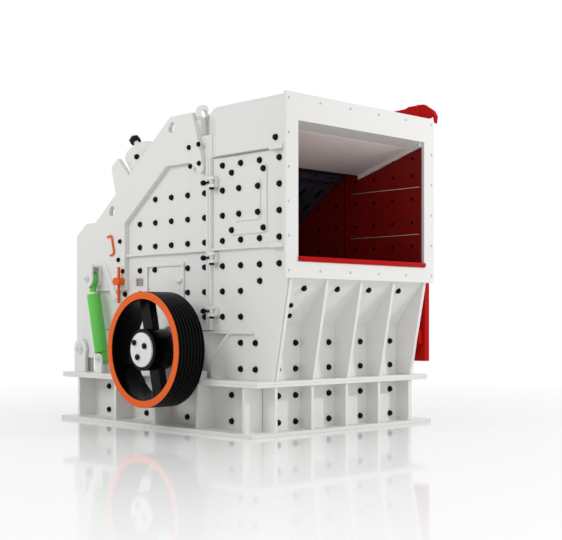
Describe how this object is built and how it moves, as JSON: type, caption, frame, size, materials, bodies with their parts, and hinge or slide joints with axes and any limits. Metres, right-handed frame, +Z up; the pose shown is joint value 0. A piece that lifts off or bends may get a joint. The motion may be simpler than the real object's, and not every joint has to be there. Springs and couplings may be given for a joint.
{
  "type": "impact crusher",
  "caption": "Horizontal-shaft impact crusher: welded base, feed hood with wide mouth, bladed rotor with belt pulley, and a rear housing that hydraulic cylinders swing open.",
  "frame": {"origin": "centre of the base flange's underside, on the floor", "axes": "+X toward the feed opening, +Y toward the idle side away from the belt pulley, +Z up"},
  "size_m": [2.908, 2.444, 2.8163],
  "materials": {
    "body_paint": "off-white satin paint",
    "liner_red": "dark red painted wear plate",
    "signal_red": "red gloss paint",
    "bearing_paint": "light grey paint on a casting",
    "shaft_steel": "turned steel",
    "dark_steel": "blue-black painted steel",
    "wear_iron": "raw wear casting",
    "pulley_black": "black paint",
    "ring_orange": "orange paint",
    "cylinder_green": "green gloss paint",
    "rod_chrome": "chromed piston rod"
  },
  "bodies": {
    "frame": {"base_flange": "body_paint", "base_end_walls": "body_paint", "base_side_walls": "body_paint", "base_end_ribs": "body_paint", "base_side_ribs": "body_paint", "base_top_flange": "body_paint", "housing_flange": "body_paint", "lower_side_walls": "body_paint", "lower_rear_wall": "body_paint", "lower_liners": "liner_red", "front_side_walls": "body_paint", "front_cheeks": "body_paint", "front_liners": "liner_red", "front_wall": "body_paint", "front_ribs": "body_paint", "feed_plate": "body_paint", "feed_lip": "signal_red", "hood_sides": "body_paint", "hood_roof": "body_paint", "ceiling_plate": "body_paint", "front_split_flanges": "body_paint", "split_clamps": "body_paint", "front_ledges": "body_paint", "access_covers": "body_paint", "bearing_housings": "bearing_paint", "hinge_forks": "body_paint", "cylinder_feet": "body_paint", "jib_post": "signal_red"},
    "rotor": {"rotor_shaft": "shaft_steel", "rotor_body": "dark_steel", "blow_bars": "wear_iron", "pulley": "pulley_black", "pulley_ring": "ring_orange", "hub_cap": "body_paint"},
    "rear_housing": {"rear_side_walls": "body_paint", "rear_liners": "liner_red", "rear_roof": "body_paint", "rear_back_wall": "body_paint", "rear_split_flanges": "body_paint", "rear_blades": "body_paint", "rear_columns": "body_paint", "rear_box": "body_paint", "rear_ledges": "body_paint", "rear_crown": "body_paint", "lifting_lugs": "body_paint", "apron_adjusters": "body_paint", "lock_rods": "ring_orange", "pull_handles": "ring_orange", "upper_apron": "dark_steel", "lower_apron": "dark_steel", "cylinder_heads": "body_paint"},
    "drive_barrel": {"drive_cylinder_barrel": "cylinder_green"},
    "drive_rod": {"drive_cylinder_rod": "rod_chrome"},
    "idle_barrel": {"idle_cylinder_barrel": "cylinder_green"},
    "idle_rod": {"idle_cylinder_rod": "rod_chrome"},
    "jib": {"jib_arm": "signal_red"}
  },
  "joints": [
    {"name": "rotor_spin", "type": "hinge", "parent": "frame", "child": "rotor", "pos_m": [0.23, 0, 0.668], "axis": [0, 1, 0], "continuous": true},
    {"name": "housing_open", "type": "hinge", "parent": "frame", "child": "rear_housing", "pos_m": [-1.3, 0, 0.64], "axis": [0, -1, 0], "range_deg": [0, 45]},
    {"name": "drive_cylinder_tilt", "type": "hinge", "parent": "frame", "child": "drive_barrel", "pos_m": [-0.86, -0.945, 0.56], "axis": [0, -1, 0], "range_deg": [0, 32]},
    {"name": "drive_cylinder_stroke", "type": "slide", "parent": "drive_barrel", "child": "drive_rod", "axis": [-0.2344, 0, 0.9721], "range_m": [0, 0.28]},
    {"name": "idle_cylinder_tilt", "type": "hinge", "parent": "frame", "child": "idle_barrel", "pos_m": [-0.86, 0.945, 0.56], "axis": [0, -1, 0], "range_deg": [0, 32]},
    {"name": "idle_cylinder_stroke", "type": "slide", "parent": "idle_barrel", "child": "idle_rod", "axis": [-0.2344, 0, 0.9721], "range_m": [0, 0.28]},
    {"name": "jib_swing", "type": "hinge", "parent": "frame", "child": "jib", "pos_m": [1.317, 0.93, 2.69], "axis": [0, 0, 1], "range_deg": [0, 90]}
  ],
  "couplings": [
    {"joint": "drive_cylinder_tilt", "follows": "housing_open", "ratio": 0.7},
    {"joint": "drive_cylinder_stroke", "follows": "housing_open", "m_per_rad": 0.35162},
    {"joint": "idle_cylinder_tilt", "follows": "housing_open", "ratio": 0.7},
    {"joint": "idle_cylinder_stroke", "follows": "housing_open", "m_per_rad": 0.35162}
  ]
}
